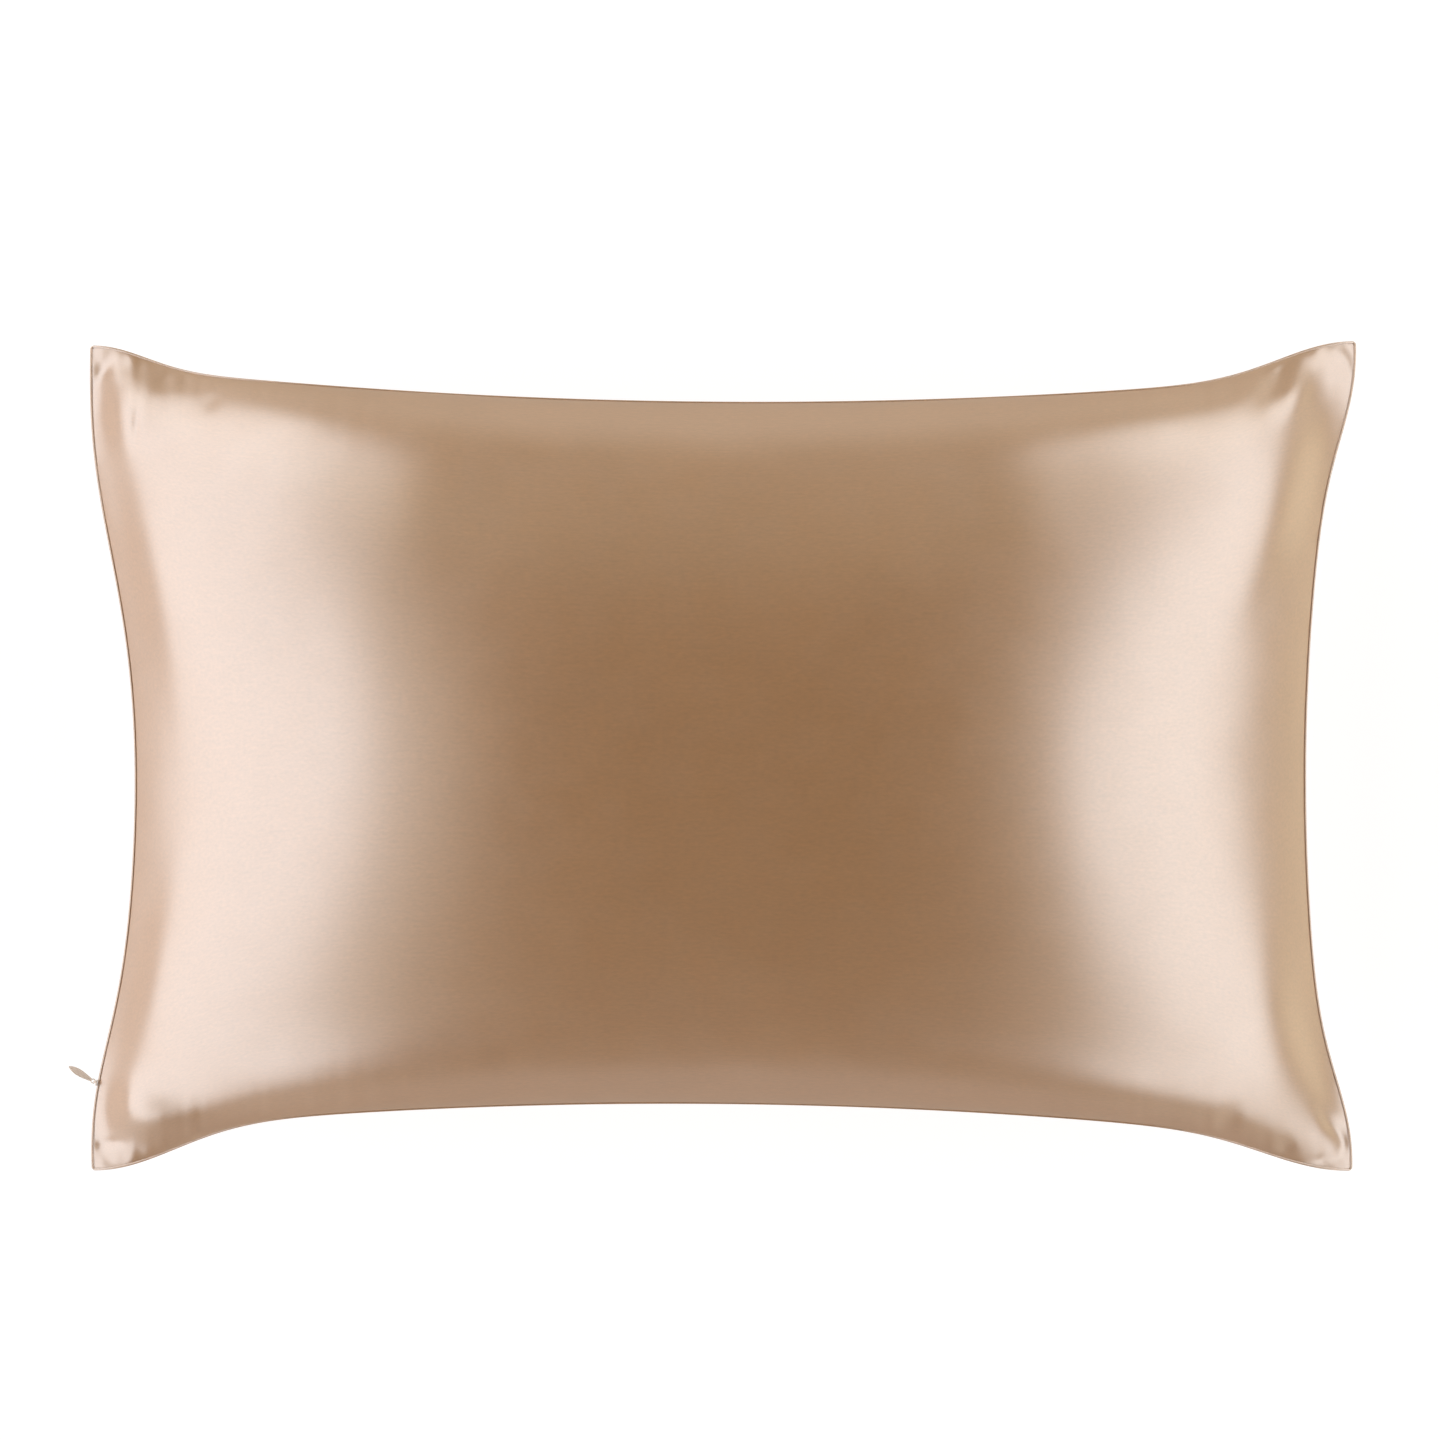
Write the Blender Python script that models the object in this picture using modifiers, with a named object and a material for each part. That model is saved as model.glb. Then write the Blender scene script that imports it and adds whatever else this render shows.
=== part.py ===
"""A satin pillowcase on a plump pillow, lying on its back, with the pull of its concealed zip.

X runs along the long side, Y along the short side and Z up out of the face. The origin is the
middle of the flat patch that the back rests on. All sizes are in metres.
"""

import math
from collections import namedtuple

import bmesh
import bpy
import numpy as np
from mathutils import Matrix, Vector

# Height of the filled case
SEAM_HEIGHT = 0.085       # the sewn edge above the surface, half way along each side
CROWN = 0.110             # the front panel above the sewn edge, at its middle
BACK_DEPTH = 0.114        # how far the back panel would hang below the sewn edge if it hung free
REST_SOFTNESS = 0.008     # height over which the back panel rounds into its flat patch
SEAM_THICKNESS = 0.002    # the sewn edge, through both panels and their allowances

# Section of the crown along and across the case: the larger its fullness, the flatter it is on
# top, and the larger its slimness, the slimmer it is at the seam. With 2 and 0.5 it is an ellipse.
FULLNESS_LONG = 2.77
SLIMNESS_LONG = 0.91
FULLNESS_SHORT = 1.78
SLIMNESS_SHORT = 0.41

INWARD_FADE = 1.33        # how soon the drawn-in shape of a side fades away from its seam
FOLD_FADE = 0.006         # how far in from the seam the folds reach their full depth
WALL_FADE = 0.010         # how far in from the seam the walls reach their full rise
EAR_REACH = 0.089         # size of the ears, the corners that the filling doesn't reach
EAR_DROOP = 0.036         # how far an ear's tip sinks below SEAM_HEIGHT

# Coarse cage of each panel, before its subdivision
CAGE_LONG = 26
CAGE_SHORT = 18

Corner = namedtuple("Corner", "x y")
CORNERS = {
    "lower_left": Corner(-0.3640, -0.2392),
    "lower_right": Corner(0.3634, -0.2394),
    "upper_left": Corner(-0.3648, 0.2368),
    "upper_right": Corner(0.3656, 0.2393),
}
HALF_LENGTH = CORNERS["upper_right"].x
HALF_WIDTH = CORNERS["upper_right"].y

# Each side is drawn in from the straight line between its two corners. The hollow is
# ear + lean + bow + ripple, and it grows from nothing over the reach at each end.
Side = namedtuple(
    "Side", "start end ear bow lean reach_start reach_end sharpness ripple ripple_count ripple_shift"
)
SIDES = {
    "lower": Side(
        "lower_left", "lower_right", 0.0160, 0.0239, -0.0042, 0.060, 0.052, 1.67, 0.0009, 3.2, 0.98
    ),
    "upper": Side(
        "upper_left", "upper_right", 0.0156, 0.0185, 0.0047, 0.036, 0.063, 1.66, 0.0013, 2.7, 0.81
    ),
    "left": Side(
        "lower_left", "upper_left", 0.0000, 0.0320, 0.0115, 0.039, 0.160, 2.08, 0.0029, 1.7, 0.93
    ),
    "right": Side(
        "lower_right", "upper_right", 0.0039, 0.0271, -0.0015, 0.056, 0.053, 1.85, 0.0009, 4.0, 0.67
    ),
}

# Main folds of the front panel: a soft trough where the depth is positive, a ridge where it is
# negative. The heading is the direction that the fold runs in, from +X towards +Y, in degrees.
Fold = namedtuple("Fold", "x y heading length width depth")
FRONT_FOLDS = {
    "upper_right_slant": Fold(0.3168, 0.2142, 55.0, 0.014, 0.0060, 0.0016),
    "upper_right_ridge": Fold(0.3290, 0.2060, 58.0, 0.014, 0.0065, -0.0016),
    "upper_left_edge": Fold(-0.3140, 0.2160, 72.0, 0.008, 0.0060, 0.0008),
    "lower_left_tip": Fold(-0.3550, -0.2230, 10.0, 0.010, 0.0045, 0.0010),
    "lower_right_corner": Fold(0.3520, -0.2140, 130.0, 0.013, 0.0055, 0.0014),
}

# Steep walls that the filling makes beside the short sides, towards the corners. The panel to the
# left of a wall's line is raised, and that rise dies away over the spread. The bend is how far the
# line curves to its left at one length from its middle.
Wall = namedtuple("Wall", "x y heading length width bend rise spread")
FRONT_WALLS = {
    "upper_right": Wall(0.3309, 0.1530, 76.0, 0.060, 0.012, 0.008, 0.0080, 0.060),
    "upper_left": Wall(-0.3321, 0.1127, -78.5, 0.075, 0.009, 0.000, 0.0045, 0.050),
    "lower_left": Wall(-0.3338, -0.1403, -102.6, 0.065, 0.009, 0.000, 0.0045, 0.050),
    "lower_right": Wall(0.3309, -0.1691, 111.0, 0.055, 0.012, -0.008, 0.0070, 0.050),
    "zip_pinch": Wall(-0.3470, -0.2010, -100.0, 0.015, 0.009, 0.000, 0.0085, 0.032),
    "upper_left_tip": Wall(-0.3520, 0.1980, -80.0, 0.022, 0.009, 0.000, 0.0070, 0.030),
}

# Zip slider and pull, measured from the point of the left seam that they come out of
ZIP_SIDE_FRACTION = 0.107      # how far up the left side, from its lower corner
PULL_HEADING = 149.0           # degrees from +X towards +Y
PULL_TWIST = 20.0              # turn about its own length
PULL_LENGTH = 0.0164           # middle of its eye to its tip
PULL_WIDTH = 0.0042
PULL_THICKNESS = 0.0009
PULL_NECK = 0.0018
EYE_RADIUS = 0.00095
EYE_RIM = 0.00055
NOSE_LENGTH = 0.0036           # along the seam
NOSE_DEPTH = 0.0007            # out of the seam
NOSE_HEIGHT = 0.0042
NOSE_ROUNDING = 0.0002
BRIDGE_RADIUS = 0.0016         # middle line of the bridge's ring
BRIDGE_WIRE = 0.00035          # half the thickness of its wire
BRIDGE_SINK = 0.0003           # how far the ring's middle lies inside the nose
CLEARANCE = 0.0003

SATIN = ((0.55, 0.38, 0.25), 0.38, 0.0)
LACQUERED_METAL = ((0.66, 0.53, 0.42), 0.35, 0.6)


def clear_scene():
    """Removes what the scene holds, so that only the part is left."""
    for item in list(bpy.data.objects):
        bpy.data.objects.remove(item, do_unlink=True)


def named_collection(name, helper=False):
    """A new collection in the scene, left out of renders where it holds only helpers."""
    collection = bpy.data.collections.new(name)
    bpy.context.scene.collection.children.link(collection)
    collection.hide_render = helper
    return collection


def principled(name, finish):
    """A material of one colour, roughness and metallic value."""
    colour, roughness, metallic = finish
    material = bpy.data.materials.new(name)
    material.use_nodes = True
    shader = material.node_tree.nodes["Principled BSDF"]
    shader.inputs["Base Color"].default_value = (*colour, 1.0)
    shader.inputs["Roughness"].default_value = roughness
    shader.inputs["Metallic"].default_value = metallic
    return material


def hollow(side, t):
    """How far the seam is drawn in at the fraction t of the side's length."""
    start = np.array(CORNERS[side.start])
    end = np.array(CORNERS[side.end])
    length = np.linalg.norm(end - start)
    rise = 1 - np.exp(-((t * length / side.reach_start) ** side.sharpness))
    fall = 1 - np.exp(-(((1 - t) * length / side.reach_end) ** side.sharpness))
    ripple = side.ripple * np.sin(2 * math.pi * (side.ripple_count * t + side.ripple_shift))
    return (side.ear + side.lean * (2 * t - 1) + 4 * side.bow * t * (1 - t) + ripple) * rise * fall


def inward(side):
    """The unit vector that points from the side's straight line to the middle of the case."""
    run = np.array(CORNERS[side.end]) - np.array(CORNERS[side.start])
    across = np.array([-run[1], run[0]]) / np.linalg.norm(run)
    return across if across @ np.array(CORNERS[side.start]) < 0 else -across


def plan(u, v):
    """X and Y of the point (u, v), both from -1 to 1.

    The four corners are blended bilinearly, and the hollow of each side is added, fading with
    the distance from that side.
    """
    a = (u + 1) / 2
    b = (v + 1) / 2
    weights = {
        "lower_left": (1 - a) * (1 - b),
        "lower_right": a * (1 - b),
        "upper_left": (1 - a) * b,
        "upper_right": a * b,
    }
    fades = {
        "lower": (a, (1 - b) ** INWARD_FADE),
        "upper": (a, b ** INWARD_FADE),
        "left": (b, (1 - a) ** INWARD_FADE),
        "right": (b, a ** INWARD_FADE),
    }
    place = sum(weight[..., None] * np.array(CORNERS[name]) for name, weight in weights.items())
    for name, (along, fade) in fades.items():
        side = SIDES[name]
        place = place + (hollow(side, along) * fade)[..., None] * inward(side)
    return place[..., 0], place[..., 1]


def nearness(x, y):
    """1 at the tip of each corner, falling to 0 away from it as a bell curve."""
    return sum(
        np.exp(-((x - corner.x) ** 2 + (y - corner.y) ** 2) / EAR_REACH**2)
        for corner in CORNERS.values()
    )


def swell(u, v):
    """0 at the seam and 1 at the middle: the crown's section one way times the other way."""
    long_section = np.clip(1 - np.abs(u) ** FULLNESS_LONG, 0, 1) ** SLIMNESS_LONG
    short_section = np.clip(1 - np.abs(v) ** FULLNESS_SHORT, 0, 1) ** SLIMNESS_SHORT
    return long_section * short_section


def seam_height(x, y):
    """Height of the sewn edge: level along the sides and sinking towards each ear's tip."""
    return SEAM_HEIGHT - EAR_DROOP * nearness(x, y)


def seam_fade(u, v, reach):
    """0 on the seam, rising to 1 over the reach."""
    gap = np.minimum((1 - np.abs(u)) * HALF_LENGTH, (1 - np.abs(v)) * HALF_WIDTH)
    return 1 - np.exp(-((gap / reach) ** 2))


def along_and_across(x, y, line):
    """How far the points lie along a line, in its lengths, and to its left, in metres."""
    heading = math.radians(line.heading)
    along = ((x - line.x) * math.cos(heading) + (y - line.y) * math.sin(heading)) / line.length
    across = (y - line.y) * math.cos(heading) - (x - line.x) * math.sin(heading)
    return along, across


def fold_depth(x, y):
    """The sum of the folds, each a bell curve that is long along its heading and narrow across."""
    depth = np.zeros_like(x)
    for fold in FRONT_FOLDS.values():
        along, across = along_and_across(x, y, fold)
        depth += fold.depth * np.exp(-(along**2) - (across / fold.width) ** 2)
    return depth


def wall_rise(x, y):
    """The sum of the walls: a smooth step across the line that dies away on its high side."""
    rise = np.zeros_like(x)
    for wall in FRONT_WALLS.values():
        along, across = along_and_across(x, y, wall)
        across = across - wall.bend * along**2
        step = (1 + np.tanh(across / wall.width)) / 2
        fall = np.exp(-((np.maximum(across, 0) / wall.spread) ** 2))
        rise += wall.rise * step * fall * np.exp(-(along**2))
    return rise


def settled(z):
    """Heights with all that would hang below the surface laid flat on it, rounded at the brim."""
    brim = (z + REST_SOFTNESS) ** 2 / (4 * REST_SOFTNESS)
    return np.where(z > REST_SOFTNESS, z, np.where(z < -REST_SOFTNESS, 0.0, brim))


def front_point(u, v):
    """The point (u, v) of the front panel, with its walls and folds."""
    x, y = plan(u, v)
    z = seam_height(x, y) + SEAM_THICKNESS / 2 + CROWN * swell(u, v)
    z += wall_rise(x, y) * seam_fade(u, v, WALL_FADE)
    z -= fold_depth(x, y) * seam_fade(u, v, FOLD_FADE)
    return np.stack([x, y, z], axis=-1)


def back_point(u, v):
    """The point (u, v) of the back panel, which lies flat in the middle."""
    x, y = plan(u, v)
    z = seam_height(x, y) - SEAM_THICKNESS / 2 - BACK_DEPTH * swell(u, v)
    return np.stack([x, y, settled(z)], axis=-1)


def add_panel(bm, point, upward):
    """A grid moved onto a panel's shape, with its rows closer together near the seam.

    Returns the edges of its outline.
    """
    grid = bmesh.ops.create_grid(bm, x_segments=CAGE_LONG, y_segments=CAGE_SHORT, size=1.0)
    verts = grid["verts"]
    steps = np.array([vert.co[:2] for vert in verts])
    u, v = np.sin(steps * math.pi / 2).T
    for vert, place in zip(verts, point(u, v)):
        vert.co = place
    faces = {face for vert in verts for face in vert.link_faces}
    if not upward:
        bmesh.ops.reverse_faces(bm, faces=list(faces))
    return [edge for edge in {edge for face in faces for edge in face.edges} if edge.is_boundary]


def make_pillowcase(collection):
    """Front and back panels, joined by the thin sewn edge, as one closed and filled solid."""
    bm = bmesh.new()
    crease = bm.edges.layers.float.new("crease_edge")
    seam_edges = add_panel(bm, front_point, upward=True) + add_panel(bm, back_point, upward=False)
    for edge in seam_edges:
        edge[crease] = 1.0
    bmesh.ops.bridge_loops(bm, edges=seam_edges)
    bmesh.ops.recalc_face_normals(bm, faces=bm.faces)
    mesh = bpy.data.meshes.new("pillowcase")
    bm.to_mesh(mesh)
    bm.free()
    mesh.shade_smooth()
    case = bpy.data.objects.new("pillowcase", mesh)
    collection.objects.link(case)
    subdivision = case.modifiers.new("Subdivision", "SUBSURF")
    subdivision.levels = 1
    subdivision.render_levels = 1
    mesh.materials.append(principled("satin", SATIN))
    return case


def zip_frame():
    """The point of the seam that the zip comes out of, and its outward direction there."""
    side = SIDES["left"]
    step = 0.001
    fractions = np.array([ZIP_SIDE_FRACTION - step, ZIP_SIDE_FRACTION, ZIP_SIDE_FRACTION + step])
    x, y = plan(-np.ones(3), 2 * fractions - 1)
    run = Vector((x[2] - x[0], y[2] - y[0], 0)).normalized()
    outward = Vector((-run.y, run.x, 0))
    return Vector((x[1], y[1], float(seam_height(x[1], y[1])))), outward


def frame_matrix(origin, ahead):
    """A frame whose X points ahead, level, and whose Z points up."""
    up = Vector((0, 0, 1))
    turn = Matrix((ahead, up.cross(ahead), up)).transposed()
    return Matrix.Translation(origin) @ turn.to_4x4()


def make_zip_slider(collection, helpers, material):
    """The slider's nose, which is a small rounded block, with the ring-shaped bridge on it."""
    seam, outward = zip_frame()
    bpy.ops.mesh.primitive_cube_add(size=1.0)
    nose = bpy.context.object
    nose.name = "zip_slider"
    nose.data.transform(Matrix.Diagonal((NOSE_DEPTH, NOSE_LENGTH, NOSE_HEIGHT, 1.0)))
    nose.matrix_world = frame_matrix(seam + outward * (CLEARANCE + NOSE_DEPTH / 2), outward)
    rounding = nose.modifiers.new("Rounded edges", "BEVEL")
    rounding.width = NOSE_ROUNDING
    rounding.segments = 2

    bpy.ops.mesh.primitive_torus_add(
        major_radius=BRIDGE_RADIUS, minor_radius=BRIDGE_WIRE, major_segments=28, minor_segments=10
    )
    ring = bpy.context.object
    ring.name = "bridge_ring"
    ring.data.transform(Matrix.Rotation(math.pi / 2, 4, "X"))
    keep_front_half(ring.data)
    ring.matrix_world = frame_matrix(bridge_middle(), pull_direction())
    ring.hide_render = True
    ring.display_type = "WIRE"
    union = nose.modifiers.new("Bridge", "BOOLEAN")
    union.operation = "UNION"
    union.object = ring

    move_to(nose, collection)
    move_to(ring, helpers)
    nose.data.shade_smooth()
    nose.data.materials.append(material)
    return nose


def keep_front_half(mesh):
    """Cuts away the half of a ring that lies behind its middle, and closes the two cuts."""
    bm = bmesh.new()
    bm.from_mesh(mesh)
    whole = bm.verts[:] + bm.edges[:] + bm.faces[:]
    cut = bmesh.ops.bisect_plane(bm, geom=whole, plane_no=(1, 0, 0), clear_inner=True)
    rims = [part for part in cut["geom_cut"] if isinstance(part, bmesh.types.BMEdge)]
    bmesh.ops.holes_fill(bm, edges=rims)
    bm.to_mesh(mesh)
    bm.free()


def bridge_middle():
    """The middle of the bridge's ring, a little inside the outer face of the slider's nose."""
    seam, outward = zip_frame()
    return seam + outward * (CLEARANCE + NOSE_DEPTH - BRIDGE_SINK)


def pull_direction():
    """The level direction that the pull points in."""
    heading = math.radians(PULL_HEADING)
    return Vector((math.cos(heading), math.sin(heading), 0))


def leaf_outline(spline):
    """The pull's outline: a round end about the eye, a narrow neck and a leaf that ends in a tip."""
    end = EYE_RADIUS + EYE_RIM
    half = PULL_WIDTH / 2
    Knot = namedtuple("Knot", "x y handle_x handle_y")
    upper = [
        Knot(-end, 0.0, 0.0, end * 0.55),
        Knot(0.0, end, end * 0.5, 0.0),
        Knot(0.19 * PULL_LENGTH, PULL_NECK / 2, 0.06 * PULL_LENGTH, 0.0),
        Knot(0.66 * PULL_LENGTH, half, 0.17 * PULL_LENGTH, 0.0),
        Knot(PULL_LENGTH, 0.0, 0.0, -0.30 * half),
    ]
    lower = [Knot(knot.x, -knot.y, -knot.handle_x, knot.handle_y) for knot in upper[-2:0:-1]]
    knots = upper + lower
    spline.bezier_points.add(len(knots) - 1)
    for point, knot in zip(spline.bezier_points, knots):
        point.co = (knot.x, knot.y, 0)
        point.handle_right = (knot.x + knot.handle_x, knot.y + knot.handle_y, 0)
        point.handle_left = (knot.x - knot.handle_x, knot.y - knot.handle_y, 0)
    spline.use_cyclic_u = True


def eye_outline(spline):
    """The round hole that the bridge passes through."""
    bow = EYE_RADIUS * 4 / 3 * math.tan(math.pi / 8)
    spline.bezier_points.add(3)
    for index, point in enumerate(spline.bezier_points):
        angle = index * math.pi / 2
        out = Vector((math.cos(angle), math.sin(angle), 0))
        ahead = Vector((-out.y, out.x, 0))
        point.co = out * EYE_RADIUS
        point.handle_right = point.co + ahead * bow
        point.handle_left = point.co - ahead * bow
    spline.use_cyclic_u = True


def make_zip_pull(collection, material):
    """A flat leaf-shaped tab whose eye hangs in the bridge of the slider."""
    curve = bpy.data.curves.new("zip_pull", "CURVE")
    curve.dimensions = "2D"
    curve.fill_mode = "BOTH"
    curve.resolution_u = 8
    curve.extrude = PULL_THICKNESS / 2
    leaf_outline(curve.splines.new("BEZIER"))
    eye_outline(curve.splines.new("BEZIER"))
    curve.materials.append(material)
    pull = bpy.data.objects.new("zip_pull", curve)
    collection.objects.link(pull)
    _, outward = zip_frame()
    nose_face = bridge_middle() + outward * BRIDGE_SINK
    eye = nose_face + pull_direction() * (CLEARANCE + EYE_RIM + EYE_RADIUS)
    twist = Matrix.Rotation(math.radians(PULL_TWIST), 4, "X")
    pull.matrix_world = frame_matrix(eye, pull_direction()) @ twist
    return pull


def move_to(item, collection):
    """Takes the object out of its collections and puts it in this one."""
    for holder in list(item.users_collection):
        holder.objects.unlink(item)
    collection.objects.link(item)


def main():
    clear_scene()
    parts = named_collection("pillowcase")
    helpers = named_collection("cutters", helper=True)
    metal = principled("lacquered_metal", LACQUERED_METAL)
    make_pillowcase(parts)
    make_zip_slider(parts, helpers, metal)
    make_zip_pull(parts, metal)


main()
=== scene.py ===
"""Looks of a satin pillowcase on a plump pillow, laid out as an add-on and run as a script.

X runs along the long side, Y along the short side and Z up out of the face. All sizes are in
metres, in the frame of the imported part.
"""

import math
from collections import namedtuple

import bpy
import numpy as np
from bpy.props import FloatProperty, FloatVectorProperty, IntProperty, PointerProperty
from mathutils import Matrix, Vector


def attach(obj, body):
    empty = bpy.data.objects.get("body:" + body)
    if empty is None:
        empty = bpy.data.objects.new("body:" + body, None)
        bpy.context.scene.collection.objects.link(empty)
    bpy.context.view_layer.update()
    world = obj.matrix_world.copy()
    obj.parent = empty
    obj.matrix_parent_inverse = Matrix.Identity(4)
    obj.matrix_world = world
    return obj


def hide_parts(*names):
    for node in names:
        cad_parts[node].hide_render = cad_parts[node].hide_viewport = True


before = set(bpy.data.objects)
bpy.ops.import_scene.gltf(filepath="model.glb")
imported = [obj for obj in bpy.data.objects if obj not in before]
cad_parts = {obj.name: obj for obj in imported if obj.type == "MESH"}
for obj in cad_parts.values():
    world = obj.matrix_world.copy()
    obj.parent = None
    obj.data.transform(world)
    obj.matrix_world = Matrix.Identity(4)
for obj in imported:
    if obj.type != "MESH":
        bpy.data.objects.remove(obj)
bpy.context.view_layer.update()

bl_info = {
    "name": "Satin Pillowcase",
    "version": (1, 0, 0),
    "blender": (4, 5, 0),
    "location": "View3D > Sidebar > Pillowcase",
    "description": "Makes a filled satin pillowcase with a concealed zip",
    "category": "Add Mesh",
}

BODY = "root"

# Tips of the four corners, seen from above
Corner = namedtuple("Corner", "x y")
CORNERS = {
    "lower_left": Corner(-0.3640, -0.2392),
    "lower_right": Corner(0.3634, -0.2394),
    "upper_left": Corner(-0.3648, 0.2368),
    "upper_right": Corner(0.3656, 0.2393),
}
HALF_LENGTH = CORNERS["upper_right"].x
HALF_WIDTH = CORNERS["upper_right"].y

# The panels as cut, before they were filled
FLAT_LENGTH = 0.76
FLAT_WIDTH = 0.51

# Each side is drawn in from the straight line between its two corners. The hollow is
# ear + lean + bow, and it grows from nothing over the reach at each end as a bell curve does.
Side = namedtuple("Side", "start end ear bow lean reach_start reach_end")
SIDES = {
    "lower": Side("lower_left", "lower_right", 0.018, 0.022, -0.0035, 0.060, 0.060),
    "upper": Side("upper_left", "upper_right", 0.014, 0.021, 0.0035, 0.038, 0.055),
    "left": Side("lower_left", "upper_left", 0.0, 0.028, 0.0, 0.070, 0.120),
    "right": Side("lower_right", "upper_right", 0.006, 0.024, -0.0015, 0.056, 0.056),
}

# Folds pressed into a panel along its normal: a trough where the depth is positive, a ridge where
# it is negative. The heading is the fold's direction from +X towards +Y in degrees, and the bend
# is how far it curves to its left at one length from its middle.
Fold = namedtuple("Fold", "x y heading length width depth bend", defaults=(0.0,))
FRONT_FOLDS = {
    "upper_right_slant": Fold(0.3168, 0.2142, 55.0, 0.014, 0.006, 0.0016),
    "upper_right_ridge": Fold(0.329, 0.206, 58.0, 0.014, 0.0065, -0.0016),
    "upper_left_tip": Fold(-0.3575, 0.221, 75.0, 0.006, 0.0045, 0.0008),
    "upper_left_crease": Fold(-0.336, 0.19, 88.0, 0.009, 0.0022, 0.0008),
    "upper_left_edge_a": Fold(-0.321, 0.215, 75.0, 0.006, 0.0045, 0.0006),
    "upper_left_edge_b": Fold(-0.307, 0.2175, 70.0, 0.006, 0.0045, 0.0006),
    "upper_left_edge_c": Fold(-0.293, 0.204, 60.0, 0.007, 0.005, 0.0006),
    "lower_left_tip": Fold(-0.355, -0.223, 10.0, 0.009, 0.003, 0.001),
    "lower_right_corner": Fold(0.352, -0.214, 130.0, 0.013, 0.004, 0.0014),
    "lower_right_edge_a": Fold(0.29, -0.2085, 60.0, 0.01, 0.006, 0.0006),
    "lower_right_edge_b": Fold(0.3245, -0.226, 70.0, 0.006, 0.0045, 0.0006),
    "lower_right_edge_c": Fold(0.345, -0.234, 70.0, 0.005, 0.0035, 0.0004),
}

# Steep walls that the filling makes beside the short sides, towards the corners. The panel to the
# left of a wall's line is raised, and that rise dies away over the spread.
Wall = namedtuple("Wall", "x y heading length width bend rise spread")
FRONT_WALLS = {
    "upper_right": Wall(0.3309, 0.153, 76.0, 0.06, 0.012, 0.008, 0.008, 0.06),
    "upper_left": Wall(-0.3321, 0.1127, -78.5, 0.075, 0.009, 0.0, 0.0045, 0.05),
    "lower_left": Wall(-0.3338, -0.1403, -102.6, 0.065, 0.009, 0.0, 0.0045, 0.05),
    "lower_right": Wall(0.3309, -0.1691, 111.0, 0.055, 0.012, -0.008, 0.007, 0.05),
    "zip_pinch": Wall(-0.347, -0.201, -100.0, 0.015, 0.009, 0.0, 0.0085, 0.032),
    "upper_left_tip": Wall(-0.352, 0.198, -80.0, 0.022, 0.009, 0.0, 0.007, 0.03),
}
BACK_FOLDS = {
    "lower_left": Fold(-0.32, -0.195, 40.0, 0.025, 0.008, -0.0025),
    "lower_right": Fold(0.318, -0.2, 140.0, 0.022, 0.008, -0.0022),
    "upper_left": Fold(-0.319, 0.196, 140.0, 0.022, 0.008, -0.002),
    "upper_right": Fold(0.323, 0.2, 42.0, 0.025, 0.008, -0.0026),
}

# Where the front's folds and the back's begin, in from the sewn edge
CREASE_FADE = 0.003

# Broad, shallow unevenness of the filling under the front panel, in the same terms
FRONT_SWELLS = {
    "low_middle": Fold(-0.05, -0.135, 80.0, 0.045, 0.028, 0.0007),
    "low_right": Fold(0.09, -0.145, 20.0, 0.06, 0.035, -0.0006),
    "high_left": Fold(-0.175, 0.15, 75.0, 0.05, 0.028, -0.0008),
    "high_right": Fold(0.17, 0.15, 105.0, 0.05, 0.028, -0.0008),
    "left_band": Fold(-0.24, 0.03, 85.0, 0.09, 0.03, 0.0006, 0.006),
    "right_band": Fold(0.23, -0.04, 95.0, 0.09, 0.03, 0.0006, 0.006),
}


def number(description, default, **kind):
    """A property that is a number of some kind."""
    return FloatProperty(description=description, default=default, **kind)


def metres(description, default):
    """A property that is a length."""
    return number(description, default, unit="LENGTH")


def whole(description, default):
    """A property that is a whole number."""
    return IntProperty(description=description, default=default)


def colour_of(description, default):
    """A property that is a colour."""
    return FloatVectorProperty(
        description=description, default=default, subtype="COLOR", size=3, min=0, max=1
    )


def titled(group):
    """The group with each of its properties named after its identifier."""
    for identifier, setting in group.__annotations__.items():
        setting.keywords["name"] = identifier.replace("_", " ").title()
    return group


@titled
class PillowcaseShape(bpy.types.PropertyGroup):
    """Sizes of the filled case"""

    seam_height: metres("Height of the sewn edge half way along each side", 0.085)
    crown: metres("Rise of the front panel over the sewn edge", 0.11)
    back_depth: metres("How far the back panel would hang below the sewn edge", 0.114)
    rest_softness: metres("Height over which the back rounds into its flat patch", 0.008)
    fullness_long: number("How flat the crown's long section is on top", 2.77)
    slimness_long: number("How slim the crown's long section is at the seam", 0.91)
    fullness_short: number("How flat the crown's short section is on top", 1.78)
    slimness_short: number("How slim the crown's short section is at the seam", 0.41)
    fullness_ear: number("How flat the short section is on top beside the short sides", 3.5)
    slimness_ear: number("How slim the short section is at the seam beside them", 0.8)
    ear_turn: number("How late the short section turns into that of the short sides", 3.0)
    inward_fade: number("How soon the drawn-in shape of a side fades inwards", 1.33)
    wall_fade: metres("Distance in from the sewn edge where the walls begin", 0.010)
    ear_reach: metres("Size of the corners that the filling doesn't reach", 0.089)
    ear_droop: metres("How far a corner's tip sinks below the seam height", 0.036)
    tip_droop: metres("How much further the very tip of a corner sinks", 0.006)
    tip_reach: metres("Size of the very tip that sinks further", 0.012)
    corner_radius: metres("Rounding of the sewn edge at the corners", 0.0015)
    lip_width: metres("Width of the thin sewn edge", 0.0016)
    lip_thickness: metres("Thickness of the thin sewn edge", 0.0014)
    pucker_depth: metres("Depth of the small gathers beside the sewn edge", 0.0001)
    pucker_length: metres("Distance from one small gather to the next", 0.012)
    pucker_reach: metres("How far the small gathers run in from the sewn edge", 0.012)
    cells_long: whole("Cells of a panel's grid along the case", 280)
    cells_short: whole("Cells of a panel's grid across the case", 160)


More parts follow.
